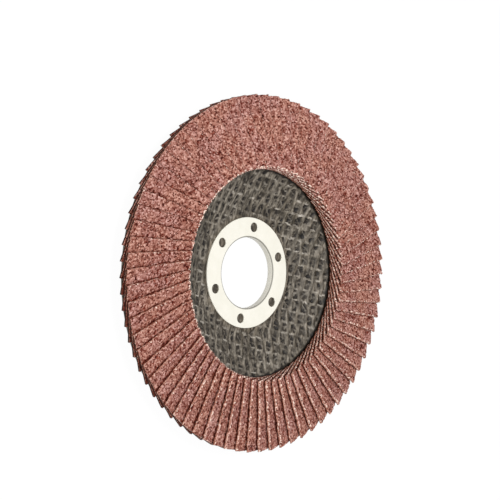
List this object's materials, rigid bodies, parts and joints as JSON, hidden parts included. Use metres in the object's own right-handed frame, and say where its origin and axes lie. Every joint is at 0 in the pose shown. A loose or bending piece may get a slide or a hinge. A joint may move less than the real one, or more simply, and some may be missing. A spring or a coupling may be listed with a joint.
{
  "type": "flap disc",
  "caption": "Round abrasive flap disc with overlapping coated-cloth flaps on a glass-fibre saucer, held by a central bore with a steel ring.",
  "frame": {"origin": "on the bore's axis, on the rear face of the hub, which the disc rests on", "axes": "+Z along the bore's axis, out of the working side; X and Y lie in the plane of the disc"},
  "size_m": [0.1114, 0.1114, 0.0123],
  "materials": {
    "glass_fibre_plate": "open glass-fibre mesh pressed in dark resin",
    "steel_ring": "thin steel pressing, coated cream white",
    "resin": "cured dark brown adhesive",
    "abrasive_cloth": "red-brown aluminium oxide grit on cotton cloth"
  },
  "bodies": {
    "root": {"backing_plate": "glass_fibre_plate", "mounting_ring": "steel_ring", "resin_bed": "resin", "flap_pair_01": "abrasive_cloth", "flap_pair_02": "abrasive_cloth", "flap_pair_03": "abrasive_cloth", "flap_pair_04": "abrasive_cloth", "flap_pair_05": "abrasive_cloth", "flap_pair_06": "abrasive_cloth", "flap_pair_07": "abrasive_cloth", "flap_pair_08": "abrasive_cloth", "flap_pair_09": "abrasive_cloth", "flap_pair_10": "abrasive_cloth", "flap_pair_11": "abrasive_cloth", "flap_pair_12": "abrasive_cloth", "flap_pair_13": "abrasive_cloth", "flap_pair_14": "abrasive_cloth", "flap_pair_15": "abrasive_cloth", "flap_pair_16": "abrasive_cloth", "flap_pair_17": "abrasive_cloth", "flap_pair_18": "abrasive_cloth", "flap_pair_19": "abrasive_cloth", "flap_pair_20": "abrasive_cloth", "flap_pair_21": "abrasive_cloth", "flap_pair_22": "abrasive_cloth", "flap_pair_23": "abrasive_cloth", "flap_pair_24": "abrasive_cloth", "flap_pair_25": "abrasive_cloth", "flap_pair_26": "abrasive_cloth", "flap_pair_27": "abrasive_cloth", "flap_pair_28": "abrasive_cloth", "flap_pair_29": "abrasive_cloth", "flap_pair_30": "abrasive_cloth", "flap_pair_31": "abrasive_cloth", "flap_pair_32": "abrasive_cloth", "flap_pair_33": "abrasive_cloth", "flap_pair_34": "abrasive_cloth", "flap_pair_35": "abrasive_cloth", "flap_pair_36": "abrasive_cloth"}
  },
  "joints": []
}
